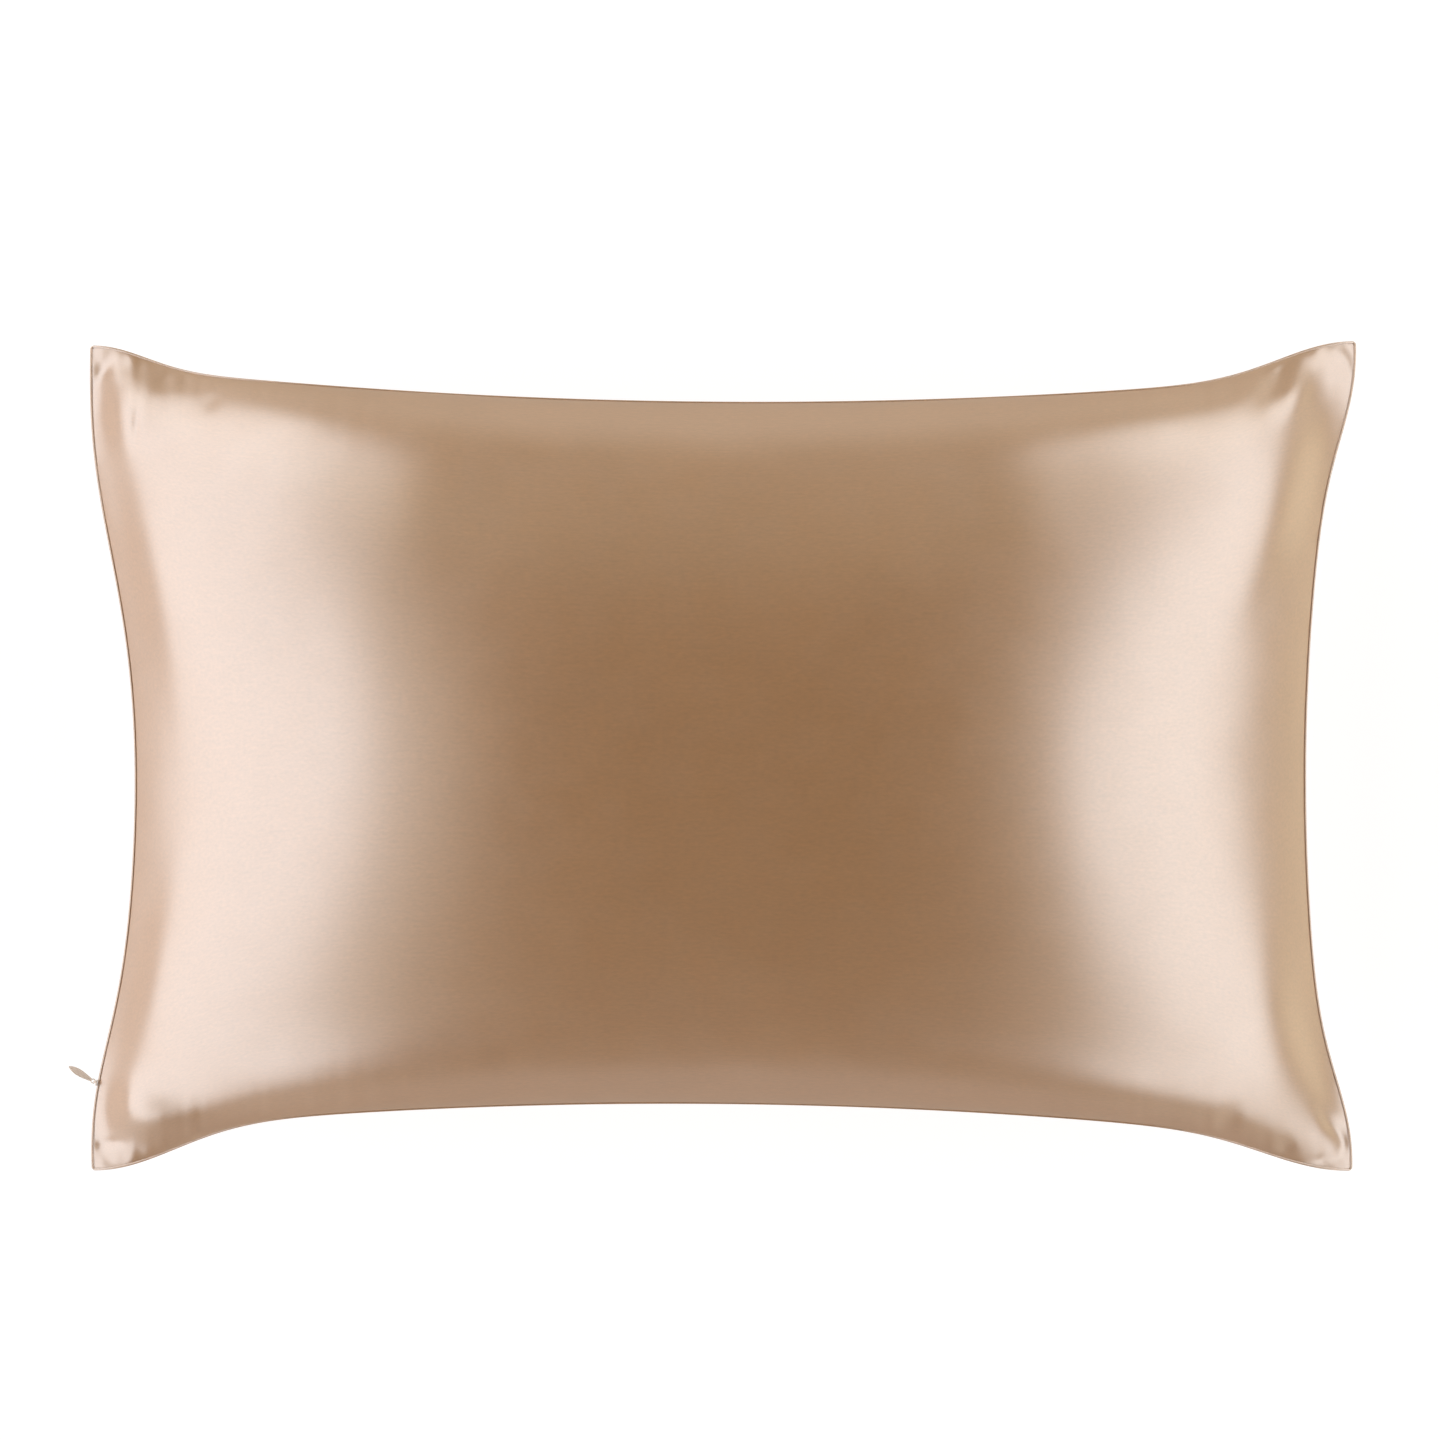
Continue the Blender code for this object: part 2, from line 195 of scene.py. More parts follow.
@titled
class ClothSettling(bpy.types.PropertyGroup):
    """How the cloth settles over its filling in a short simulation"""

    pressure: number("Push of the filling against the cloth", 4.0)
    ease: number(
        "How much larger the cloth is cut than the shape it covers", 0.001, subtype="FACTOR"
    )
    stiffness: number("Resistance of the cloth to stretching", 15.0)
    bending: number("Resistance of the cloth to bending", 0.5)
    weight: number("Mass of a point of the cloth", 0.2, unit="MASS")
    frames: whole("Frames that the cloth settles for", 20)
    coarseness: whole("Cells of a finished panel to each simulated one", 2)
    furthest: metres("The furthest that any point may move", 0.004)
    smoothing: whole("How often the moves are averaged with their neighbours", 4)


@titled
class SatinFinish(bpy.types.PropertyGroup):
    """Colour, gloss and relief of the satin"""

    colour: colour_of("Colour of the satin where it mirrors nothing", (0.45, 0.234, 0.101))
    deep_colour: colour_of("Colour of the satin's darker clouds", (0.315, 0.164, 0.070))
    roughness: number("Roughness of the satin face", 0.31)
    mirror_level: number("Specular level of the satin face", 1.0)
    refraction: number("Index of refraction that gives the satin its gloss", 2.15)
    thread_pitch: metres("Spacing of the weft's fine crinkle", 0.0013)
    float_length: metres("Length of the fine crinkle along the weft", 0.003)
    relief: metres("Height of the fine crinkle", 0.00002)
    cloud_size: metres("Size of the soft clouds in colour and gloss", 0.05)


@titled
class ZipSizes(bpy.types.PropertyGroup):
    """Sizes of the zip's pull and of the slider's nose that it hangs in"""

    side_fraction: number("How far up the left side the zip comes out", 0.107, subtype="FACTOR")
    clearance: metres("Gap between touching pieces", 0.0003)
    nose_size: FloatVectorProperty(
        description="Slider's nose: out of the seam, along it and up",
        default=(0.0007, 0.0036, 0.0042), subtype="XYZ_LENGTH", size=3,
    )
    bridge_radius: metres("Radius of the slider's bridge at the middle of its wire", 0.0016)
    bridge_wire: metres("Radius of the bridge's wire", 0.00035)
    bridge_sink: metres("How far the bridge's middle lies inside the nose", 0.0003)
    heading: number(
        "Direction of the pull from +X towards +Y", math.radians(149.0), subtype="ANGLE"
    )
    twist: number("Turn of the pull about its own length", math.radians(20.0), subtype="ANGLE")
    length: metres("From the middle of the eye to the tip", 0.0164)
    width: metres("Widest part of the leaf", 0.0042)
    neck: metres("Width between the eye and the leaf", 0.0018)
    thickness: metres("Thickness of the leaf's rim", 0.0009)
    eye_radius: metres("Radius of the hole that the bridge passes through", 0.00095)
    eye_rim: metres("Width of the metal around the hole", 0.00055)
    colour: colour_of("Colour of the lacquered metal", (0.80, 0.68, 0.59))
    bare_colour: colour_of("Colour of the metal where the lacquer is worn", (0.62, 0.50, 0.42))


def hollow(side, t):
    """How far the seam is drawn in at the fraction t of the side's length.

    The sum of a constant, a line and a parabola, times a rise from each end that is one minus
    a bell curve of the distance.
    """
    start = np.array(CORNERS[side.start])
    end = np.array(CORNERS[side.end])
    length = np.linalg.norm(end - start)
    rise = 1 - np.exp(-((t * length / side.reach_start) ** 2))
    fall = 1 - np.exp(-(((1 - t) * length / side.reach_end) ** 2))
    return (side.ear + side.lean * (2 * t - 1) + 4 * side.bow * t * (1 - t)) * rise * fall


def inward(side):
    """The unit vector that points from the side's straight line to the middle of the case."""
    run = np.array(CORNERS[side.end]) - np.array(CORNERS[side.start])
    across = np.array([-run[1], run[0]]) / np.linalg.norm(run)
    return across if across @ np.array(CORNERS[side.start]) < 0 else -across


def plan(u, v, shape):
    """X and Y of the points (u, v), both from -1 to 1.

    The four corners are blended bilinearly, and the hollow of each side is added, fading with
    the distance from that side.
    """
    a = np.clip((u + 1) / 2, 0, 1)
    b = np.clip((v + 1) / 2, 0, 1)
    weights = {
        "lower_left": (1 - a) * (1 - b),
        "lower_right": a * (1 - b),
        "upper_left": (1 - a) * b,
        "upper_right": a * b,
    }
    fades = {
        "lower": (a, (1 - b) ** shape.inward_fade),
        "upper": (a, b**shape.inward_fade),
        "left": (b, (1 - a) ** shape.inward_fade),
        "right": (b, a**shape.inward_fade),
    }
    place = sum(weight[..., None] * np.array(CORNERS[name]) for name, weight in weights.items())
    for name, (along, fade) in fades.items():
        side = SIDES[name]
        place = place + (hollow(side, along) * fade)[..., None] * inward(side)
    return place[..., 0], place[..., 1]


def rounded(u, v, radius):
    """The points (u, v) with each corner of their square drawn in to a quarter circle.

    Inside the square of the radius at a corner, a point's two distances p and q from that
    square's inner edges, as shares of the radius, become p times the root of 1 - q²/2 and q
    times the root of 1 - p²/2.
    """
    p = np.clip(1 - (1 - np.abs(u)) * HALF_LENGTH / radius, 0, 1)
    q = np.clip(1 - (1 - np.abs(v)) * HALF_WIDTH / radius, 0, 1)
    draw_u = p * (1 - np.sqrt(1 - q**2 / 2)) * radius / HALF_LENGTH
    draw_v = q * (1 - np.sqrt(1 - p**2 / 2)) * radius / HALF_WIDTH
    return u - np.sign(u) * draw_u, v - np.sign(v) * draw_v


def seam_plan(u, v, shape):
    """X and Y with the corners rounded and the outline drawn in to the middle of the lip."""
    u, v = rounded(u, v, shape.corner_radius)
    inset = shape.lip_width / 2
    return plan(u * (1 - inset / HALF_LENGTH), v * (1 - inset / HALF_WIDTH), shape)


def nearness(x, y, shape):
    """1 at the tip of each corner, falling to 0 away from it as a bell curve."""
    return sum(
        np.exp(-((x - corner.x) ** 2 + (y - corner.y) ** 2) / shape.ear_reach**2)
        for corner in CORNERS.values()
    )


def swell(u, v, shape):
    """0 at the seam and 1 at the middle: the crown's section along times its section across.

    A section is 1 - |u| to the power of its fullness, all to the power of its slimness. With 2 and
    a half it is an ellipse.
    """
    long_section = np.clip(1 - np.abs(u) ** shape.fullness_long, 0, 1) ** shape.slimness_long
    short_section = np.clip(1 - np.abs(v) ** shape.fullness_short, 0, 1) ** shape.slimness_short
    ear_section = np.clip(1 - np.abs(v) ** shape.fullness_ear, 0, 1) ** shape.slimness_ear
    turn = np.abs(u) ** shape.ear_turn
    return long_section * (short_section * (1 - turn) + ear_section * turn)


def tip_sink(x, y, shape):
    """How far the very tips sink: greatest at a tip, and falling away from it exponentially."""
    return shape.tip_droop * sum(
        np.exp(-np.hypot(x - corner.x, y - corner.y) / shape.tip_reach)
        for corner in CORNERS.values()
    )


def seam_height(x, y, shape):
    """Height of the sewn edge: level along the sides and sinking towards each corner's tip."""
    return shape.seam_height - shape.ear_droop * nearness(x, y, shape) - tip_sink(x, y, shape)


def settled(z, softness):
    """Heights with all that would hang below the surface laid flat on it, rounded at the brim."""
    brim = (z + softness) ** 2 / (4 * softness)
    return np.where(z > softness, z, np.where(z < -softness, 0.0, brim))


def unit(vectors):
    """The vectors with their lengths made 1."""
    return vectors / np.maximum(np.linalg.norm(vectors, axis=-1, keepdims=True), 1e-12)


def grid_normals(points):
    """Unit normals of a grid of points, from the cross product of its two gradients."""
    along = np.gradient(points, axis=0)
    across = np.gradient(points, axis=1)
    return unit(np.cross(along, across))


def along_and_across(x, y, line):
    """How far the points lie along a bent line, in its lengths, and to its left, in its widths."""
    heading = math.radians(line.heading)
    along = ((x - line.x) * math.cos(heading) + (y - line.y) * math.sin(heading)) / line.length
    across = (y - line.y) * math.cos(heading) - (x - line.x) * math.sin(heading)
    return along, (across - line.bend * along**2) / line.width


def fold_depth(x, y, folds):
    """The sum of the folds, each a bell curve, long along its bent line and narrow across it."""
    depth = np.zeros_like(x)
    for fold in folds.values():
        along, across = along_and_across(x, y, fold)
        depth += fold.depth * np.exp(-(along**2) - across**2)
    return depth


def wall_rise(x, y, walls):
    """The sum of the walls: a smooth step across the line that dies away on its high side."""
    rise = np.zeros_like(x)
    for wall in walls.values():
        along, across = along_and_across(x, y, wall)
        step = (1 + np.tanh(across)) / 2
        fall = np.exp(-((np.maximum(across, 0) * wall.width / wall.spread) ** 2))
        rise += wall.rise * step * fall * np.exp(-(along**2))
    return rise


def wander(t, seed, terms=7):
    """A smooth uneven wave of unit size about zero: sines of unlike lengths, amounts and shifts."""
    draw = np.random.default_rng(seed)
    lengths = draw.uniform(0.6, 2.2, terms)
    shifts = draw.uniform(0, 2 * math.pi, terms)
    amounts = draw.uniform(0.4, 1.0, terms)
    waves = sum(
        amount * np.sin(2 * math.pi * t / length + shift)
        for length, shift, amount in zip(lengths, shifts, amounts)
    )
    return waves / np.sqrt((amounts**2).sum() / 2)


def pucker_depth(u, v, x, y, shape, seed):
    """Small gathers that start at the sewn edge and fade inwards exponentially.

    Each is an uneven wave along its side, times a rise from zero at the edge itself.
    """
    gaps = {"x": (1 - np.abs(v)) * HALF_WIDTH, "y": (1 - np.abs(u)) * HALF_LENGTH}
    runs = {"x": x, "y": y}
    depth = np.zeros_like(x)
    for offset, name in enumerate(("x", "y")):
        gap = gaps[name]
        fade = np.exp(-gap / shape.pucker_reach) * (1 - np.exp(-gap / (0.2 * shape.pucker_reach)))
        depth += fade * wander(runs[name] / shape.pucker_length, seed + offset)
    return shape.pucker_depth * depth


def spaced(count, ease=0.97):
    """Values from -1 to 1, closer together towards both ends, as a sine mixed with a line."""
    line = np.linspace(-1, 1, count + 1)
    return ease * np.sin(line * math.pi / 2) + (1 - ease) * line


def panel_parameters(shape, step=1):
    """The grid of (u, v) that both panels share, or every so many of its rows and columns."""
    long_way, short_way = spaced(shape.cells_long), spaced(shape.cells_short)
    return np.meshgrid(long_way[::step], short_way[::step], indexing="ij")


def seam_fade(u, v, reach):
    """0 on the seam, rising to 1 over the reach."""
    gap = np.minimum((1 - np.abs(u)) * HALF_LENGTH, (1 - np.abs(v)) * HALF_WIDTH)
    return 1 - np.exp(-((gap / reach) ** 2))


def front_surface(u, v, shape, creased=True):
    """The front panel: its crown over the seam, with the folds pressed in along its normal."""
    x, y = seam_plan(u, v, shape)
    rise = shape.crown * swell(u, v, shape)
    if not creased:
        return np.stack([x, y, seam_height(x, y, shape) + rise], axis=-1)
    rise += wall_rise(x, y, FRONT_WALLS) * seam_fade(u, v, shape.wall_fade)
    points = np.stack([x, y, seam_height(x, y, shape) + rise], axis=-1)
    press = fold_depth(x, y, FRONT_FOLDS) * seam_fade(u, v, CREASE_FADE)
    press += fold_depth(x, y, FRONT_SWELLS) + pucker_depth(u, v, x, y, shape, seed=3)
    return points - grid_normals(points) * press[..., None]


def back_surface(u, v, shape, creased=True):
    """The back panel: it hangs below the seam and lies flat on the surface in the middle."""
    x, y = seam_plan(u, v, shape)
    z = seam_height(x, y, shape) - shape.back_depth * swell(u, v, shape)
    if creased:
        folds = fold_depth(x, y, BACK_FOLDS) + pucker_depth(u, v, x, y, shape, seed=11)
        z += folds * seam_fade(u, v, CREASE_FADE)
    return np.stack([x, y, settled(z, shape.rest_softness)], axis=-1)


def seam_loop(shape):
    """Points around the sewn edge, anticlockwise, at the middle of the lip."""
    long_way = spaced(shape.cells_long)[:-1]
    short_way = spaced(shape.cells_short)[:-1]
    u = np.concatenate([long_way, np.ones_like(short_way), -long_way, -np.ones_like(short_way)])
    v = np.concatenate([-np.ones_like(long_way), short_way, np.ones_like(long_way), -short_way])
    x, y = seam_plan(u, v, shape)
    return np.stack([x, y, seam_height(x, y, shape)], axis=-1)


def swept(path, side, up, profile):
    """A grid of points: the profile's (out, up) places carried along the path.

    Each point is the path's, plus the profile's first value along the side direction, plus its
    second along the up direction.
    """
    return (
        path[:, None]
        + profile[None, :, 0, None] * side[:, None]
        + profile[None, :, 1, None] * up[:, None]
    )


def ellipse(width, thickness, count):
    """Points around an ellipse, without the first one repeated."""
    angle = np.linspace(0, 2 * math.pi, count, endpoint=False)
    return np.stack([width / 2 * np.cos(angle), thickness / 2 * np.sin(angle)], axis=-1)


def grid_quads(index):
    """Quads between neighbouring rows and columns of a grid of vertex numbers."""
    corners = (index[:-1, :-1], index[1:, :-1], index[1:, 1:], index[:-1, 1:])
    return np.stack([corner.ravel() for corner in corners], axis=-1)


def wrapped(index, rows, columns):
    """The grid of vertex numbers with its first row or column repeated at the end."""
    if rows:
        index = np.concatenate([index, index[:1]], axis=0)
    if columns:
        index = np.concatenate([index, index[:, :1]], axis=1)
    return index


def closed_shell(front, back):
    """Points and quads of two grids that share their outline, the front facing up."""
    rows, columns = front.shape[:2]
    inner = np.zeros((rows, columns), bool)
    inner[1:-1, 1:-1] = True
    front_index = np.arange(rows * columns).reshape(rows, columns)
    back_index = front_index.copy()
    back_index[inner] = rows * columns + np.arange(inner.sum())
    points = np.concatenate([front.reshape(-1, 3), back[inner]])
    return points, [*grid_quads(front_index).tolist(), *grid_quads(back_index)[:, ::-1].tolist()]


def closed_tube(rings):
    """Points and faces of rings joined into a tube, with a fan of triangles closing each end."""
    count, around = rings.shape[:2]
    index = np.arange(count * around).reshape(count, around)
    quads = grid_quads(wrapped(index, rows=False, columns=True))
    ends = np.stack([rings[0].mean(axis=0), rings[-1].mean(axis=0)])
    first, last = count * around, count * around + 1
    ahead = np.roll(index, -1, axis=1)
    start_fan = np.stack([np.full(around, first), index[0], ahead[0]], axis=-1)
    end_fan = np.stack([np.full(around, last), ahead[-1], index[-1]], axis=-1)
    points = np.concatenate([rings.reshape(-1, 3), ends])
    return points, [*quads.tolist(), *start_fan.tolist(), *end_fan.tolist()]


def joined(*shells):
    """Points and faces of several shells as one mesh."""
    points = []
    faces = []
    for shell_points, shell_faces in shells:
        start = sum(len(part) for part in points)
        points.append(shell_points)
        faces += [[corner + start for corner in face] for face in shell_faces]
    return np.concatenate(points), faces


def mesh_object(name, points, faces, material, smooth_angle=None):
    """A smooth-shaded mesh object at the origin with its faces pointing out."""
    mesh = bpy.data.meshes.new(name)
    mesh.from_pydata(points.tolist(), [], faces)
    mesh.validate()
    mesh.shade_smooth()
    if smooth_angle is not None:
        mesh.set_sharp_from_angle(angle=smooth_angle)
    mesh.materials.append(material)
    item = bpy.data.objects.new(name, mesh)
    bpy.context.scene.collection.objects.link(item)
    return item


def outward(points, faces):
    """The faces turned so that the closed shape's volume, summed from its faces, is positive."""
    fans = [(face[0], face[i], face[i + 1]) for face in faces for i in range(1, len(face) - 1)]
    a, b, c = (points[list(corner)] for corner in zip(*fans))
    volume = (a * np.cross(b, c)).sum()
    return faces if volume > 0 else [face[::-1] for face in faces]


def held_points(front, points):
    """Numbers of the points that stay still: the sewn edge and the patch that rests flat."""
    rows, columns = front.shape[:2]
    index = np.arange(rows * columns).reshape(rows, columns)
    edge = np.concatenate([index[0], index[-1], index[1:-1, 0], index[1:-1, -1]])
    resting = np.flatnonzero(points[:, 2] <= 0)
    return np.union1d(edge, resting)


def simulated(points, faces, held, settling):
    """The points after the cloth has been pushed out by the filling for a number of frames."""
    mesh = bpy.data.meshes.new("settling_cloth")
    mesh.from_pydata(points.tolist(), [], faces)
    item = bpy.data.objects.new("settling_cloth", mesh)
    bpy.context.scene.collection.objects.link(item)
    group = item.vertex_groups.new(name="held")
    group.add(held.tolist(), 1.0, "REPLACE")
    cloth = item.modifiers.new("Cloth", "CLOTH")
    settings = cloth.settings
    settings.use_pressure = True
    settings.uniform_pressure_force = settling.pressure
    settings.shrink_min = -settling.ease
    settings.effector_weights.gravity = 0
    settings.vertex_group_mass = group.name
    settings.mass = settling.weight
    settings.tension_stiffness = settling.stiffness
    settings.compression_stiffness = settling.stiffness
    settings.bending_stiffness = settling.bending
    cloth.point_cache.frame_start = 1
    cloth.point_cache.frame_end = settling.frames
    for frame_number in range(1, settling.frames + 1):
        bpy.context.scene.frame_set(frame_number)
    moved = item.evaluated_get(bpy.context.evaluated_depsgraph_get())
    result = bpy.data.meshes.new_from_object(moved)
    places = np.empty(len(points) * 3, dtype=np.float32)
    result.vertices.foreach_get("co", places)
    bpy.data.objects.remove(item, do_unlink=True)
    for used in (mesh, result):
        bpy.data.meshes.remove(used)
    bpy.context.scene.frame_set(1)
    return places.reshape(-1, 3).astype(float)


def refined(grid, factor):
    """The grid with straight steps put in between its rows and its columns."""
    for axis in (0, 1):
        count = grid.shape[axis]
        places = np.linspace(0, count - 1, (count - 1) * factor + 1)
        low = np.minimum(places.astype(int), count - 2)
        share = (places - low).reshape([-1 if axis == way else 1 for way in range(grid.ndim)])
        grid = np.take(grid, low, axis) * (1 - share) + np.take(grid, low + 1, axis) * share
    return grid


def smoothed(grid, passes):
    """The grid's inner values averaged with their four neighbours, several times."""
    for _ in range(passes):
        inner = grid[:-2, 1:-1] + grid[2:, 1:-1] + grid[1:-1, :-2] + grid[1:-1, 2:]
        grid = grid.copy()
        grid[1:-1, 1:-1] = grid[1:-1, 1:-1] / 2 + inner / 8
    return grid


def cloth_moves(shape, settling):
    """How far the settling cloth moves each point of the front and back panels' grids.

    Both panels are simulated on a coarser grid, and the moves are capped, smoothed and refined.
    """
    u, v = panel_parameters(shape, settling.coarseness)
    front = front_surface(u, v, shape, creased=False)
    back = back_surface(u, v, shape, creased=False)
    points, faces = closed_shell(front, back)
    faces = outward(points, faces)
    moves = simulated(points, faces, held_points(front, points), settling) - points
    distance = np.linalg.norm(moves, axis=-1, keepdims=True)
    moves *= settling.furthest / np.maximum(distance, settling.furthest)
    rows, columns = u.shape
    front_moves = moves[: rows * columns].reshape(rows, columns, 3)
    back_moves = np.zeros_like(front_moves)
    back_moves[1:-1, 1:-1] = moves[rows * columns :].reshape(rows - 2, columns - 2, 3)
    return [
        refined(smoothed(grid, settling.smoothing), settling.coarseness)
        for grid in (front_moves, back_moves)
    ]


def flat_places(shape):
    """Where each vertex of the shell lies on the flat cloth, on an even grid in metres."""
    long_way = np.linspace(-1, 1, shape.cells_long + 1) * FLAT_LENGTH / 2
    short_way = np.linspace(-1, 1, shape.cells_short + 1) * FLAT_WIDTH / 2
    places = np.stack(np.meshgrid(long_way, short_way, indexing="ij"), axis=-1)
    return np.concatenate([places.reshape(-1, 2), places[1:-1, 1:-1].reshape(-1, 2)])


def add_cloth_map(item, places):
    """A UV map in metres of flat cloth, from a place for each vertex."""
    mesh = item.data
    corners = np.empty(len(mesh.loops), dtype=np.int32)
    mesh.loops.foreach_get("vertex_index", corners)
    layer = mesh.uv_layers.new(name="cloth")
    layer.data.foreach_set("uv", places[corners].astype(np.float32).ravel())


# Where a noise pattern's values mostly lie
NOISE_LOW = 0.3
NOISE_HIGH = 0.7

# The satin: the slubs' share of its relief and their scale beside the crinkle's, the threads'
# share of its tone, and how much its roughness changes
SLUB_SHARE = 0.25
SLUB_STRETCH = (0.25, 0.5, 1.0)
THREAD_SHARE = 0.85
LUSTRE_CHANGE = 0.05

# The metal's scuffs, and the patches of its gloss with their roughness
SCUFF_SIZE = 0.0012
GLOSS_SIZE = 0.0008
GLOSS_LOW = 0.30
GLOSS_HIGH = 0.42

# The pull: how near its tip the leaf is widest, its recess's depth and width as shares of the
# leaf's, and the angle over which an edge of the metal is sharp
BELLY_PLACE = 1.27
RECESS_DEPTH = 0.45
RECESS_WIDTH = 0.72
SHARP_ANGLE = math.radians(50)

FLOOR_SIZE = 14
FLOOR_GREY = (0.25, 0.25, 0.25, 1)
FLOOR_ROUGHNESS = 0.9
FLOOR_GLOW = 0.84


def feed(node, inputs):
    """Links or sets the node's named inputs."""
    for name, value in inputs.items():
        if isinstance(value, bpy.types.NodeSocket):
            node.id_data.links.new(value, node.inputs[name])
        else:
            node.inputs[name].default_value = value


def add_node(tree, kind, inputs=None, **settings):
    """Adds a shader node with its settings, and links or sets its named inputs."""
    node = tree.nodes.new("ShaderNode" + kind)
    for name, value in settings.items():
        setattr(node, name, value)
    feed(node, inputs or {})
    return node


def worked_out(tree, operation, *values):
    """The socket with the result of a math node."""
    return add_node(tree, "Math", dict(enumerate(values)), operation=operation).outputs[0]


def new_material(name):
    """A material with its node tree and its shader."""
    material = bpy.data.materials.new(name)
    material.use_nodes = True
    return material, material.node_tree, material.node_tree.nodes["Principled BSDF"]


def blended(tree, factor, first, second):
    """The colour socket of a blend from the first colour to the second."""
    node = add_node(tree, "Mix", {"Factor": factor}, data_type="RGBA")
    colours = {socket.name: socket for socket in node.inputs if socket.type == "RGBA"}
    for name, colour in (("A", first), ("B", second)):
        if isinstance(colour, bpy.types.NodeSocket):
            tree.links.new(colour, colours[name])
        else:
            colours[name].default_value = (*colour, 1)
    return next(socket for socket in node.outputs if socket.type == "RGBA")


def new_group(name, inputs, outputs):
    """An empty shader node group with the named sockets, with its two end nodes."""
    group = bpy.data.node_groups.new(name, "ShaderNodeTree")
    for way, sockets in (("INPUT", inputs), ("OUTPUT", outputs)):
        for socket, kind in sockets.items():
            group.interface.new_socket(socket, in_out=way, socket_type="NodeSocket" + kind)
    return group, group.nodes.new("NodeGroupInput"), group.nodes.new("NodeGroupOutput")


def noise(tree, place, scale, detail, roughness):
    """The socket with the values of a noise pattern."""
    return add_node(tree, "TexNoise", {
        "Vector": place, "Scale": scale, "Detail": detail, "Roughness": roughness,
    }).outputs["Fac"]


def satin_threads_group():
    """Fine crinkle and longer slubs along the weft, from the flat cloth's own coordinates."""
    if "satin threads" in bpy.data.node_groups:
        return bpy.data.node_groups["satin threads"]
    group, ins, outs = new_group(
        "satin threads",
        {"Cloth": "Vector", "Float Length": "Float", "Pitch": "Float"},
        {"Height": "Float", "Tone": "Float"},
    )
    cell = add_node(group, "CombineXYZ", {
        "X": ins.outputs["Float Length"], "Y": ins.outputs["Pitch"], "Z": 1.0,
    })
    place = add_node(group, "VectorMath", {
        0: ins.outputs["Cloth"], 1: cell.outputs["Vector"],
    }, operation="DIVIDE")
    crinkle = noise(group, place.outputs["Vector"], 1.0, 3.0, 0.6)
    far = add_node(group, "VectorMath", {
        0: place.outputs["Vector"], 1: SLUB_STRETCH,
    }, operation="MULTIPLY")
    slubs = noise(group, far.outputs["Vector"], 1.0, 2.0, 0.5)
    both = add_node(group, "Mix", {
        "Factor": SLUB_SHARE, "A": crinkle, "B": slubs,
    }, data_type="FLOAT")
    tone = add_node(group, "MapRange", {
        "Value": both.outputs["Result"], "From Min": NOISE_LOW, "From Max": NOISE_HIGH,
    })
    group.links.new(both.outputs["Result"], outs.inputs["Height"])
    group.links.new(tone.outputs["Result"], outs.inputs["Tone"])
    return group


def cloudy_tone_group():
    """A soft cloud pattern of the given size, from a low value to a high one."""
    if "cloudy tone" in bpy.data.node_groups:
        return bpy.data.node_groups["cloudy tone"]
    group, ins, outs = new_group(
        "cloudy tone",
        {"Place": "Vector", "Size": "Float", "Low": "Float", "High": "Float"},
        {"Tone": "Float"},
    )
    scale = worked_out(group, "DIVIDE", 1.0, ins.outputs["Size"])
    clouds = noise(group, ins.outputs["Place"], scale, 3.0, 0.5)
    spread = add_node(group, "MapRange", {
        "Value": clouds, "From Min": NOISE_LOW, "From Max": NOISE_HIGH,
        "To Min": ins.outputs["Low"], "To Max": ins.outputs["High"],
    })
    group.links.new(spread.outputs["Result"], outs.inputs["Tone"])
    return group


def cloudy(tree, place, size, low, high):
    """The socket of a cloudy tone."""
    return add_node(tree, "Group", {
        "Place": place.outputs["Object"], "Size": size, "Low": low, "High": high,
    }, node_tree=cloudy_tone_group()).outputs["Tone"]


def satin_material(name, finish):
    """Satin: a soft clouded colour, fine weft crinkle, and a broad neutral gloss."""
    material, tree, shader = new_material(name)
    cloth = add_node(tree, "UVMap", uv_map="cloth")
    place = add_node(tree, "TexCoord")
    threads = add_node(tree, "Group", {
        "Cloth": cloth.outputs["UV"],
        "Float Length": finish.float_length,
        "Pitch": finish.thread_pitch,
    }, node_tree=satin_threads_group())
    clouds = cloudy(tree, place, finish.cloud_size, 0.0, 1.0)
    change = finish.roughness * LUSTRE_CHANGE
    lustre = cloudy(
        tree, place, finish.cloud_size / 3, finish.roughness - change, finish.roughness + change
    )
    shade = add_node(tree, "Mix", {
        "Factor": THREAD_SHARE, "A": clouds, "B": threads.outputs["Tone"],
    }, data_type="FLOAT")
    colour = blended(tree, shade.outputs["Result"], finish.deep_colour, finish.colour)
    bump = add_node(tree, "Bump", {
        "Height": threads.outputs["Height"], "Distance": finish.relief,
    })
    feed(shader, {
        "Base Color": colour, "Roughness": lustre, "Normal": bump.outputs["Normal"],
        "Specular IOR Level": finish.mirror_level, "IOR": finish.refraction,
    })
    return material


def lacquer_material(sizes):
    """Beige lacquer on metal, worn through along the rims."""
    material, tree, shader = new_material("lacquered_metal")
    place = add_node(tree, "TexCoord")
    rim = add_node(tree, "Attribute", attribute_name="wear")
    scuffs = cloudy(tree, place, SCUFF_SIZE, 0.2, 1.0)
    worn = worked_out(tree, "MULTIPLY", rim.outputs["Fac"], scuffs)
    gloss = cloudy(tree, place, GLOSS_SIZE, GLOSS_LOW, GLOSS_HIGH)
    colour = blended(tree, worn, sizes.colour, sizes.bare_colour)
    feed(shader, {"Base Color": colour, "Metallic": worn, "Roughness": gloss})
    return material


def floor_material():
    """Matt pale floor with a faint glow of its own, so that it stays even under the lamps."""
    material, _, shader = new_material("pale_floor")
    feed(shader, {
        "Base Color": FLOOR_GREY, "Roughness": FLOOR_ROUGHNESS, "Specular IOR Level": 0.0,
        "Emission Color": (1, 1, 1, 1), "Emission Strength": FLOOR_GLOW,
    })
    return material


Shell = namedtuple("Shell", "points faces wear")


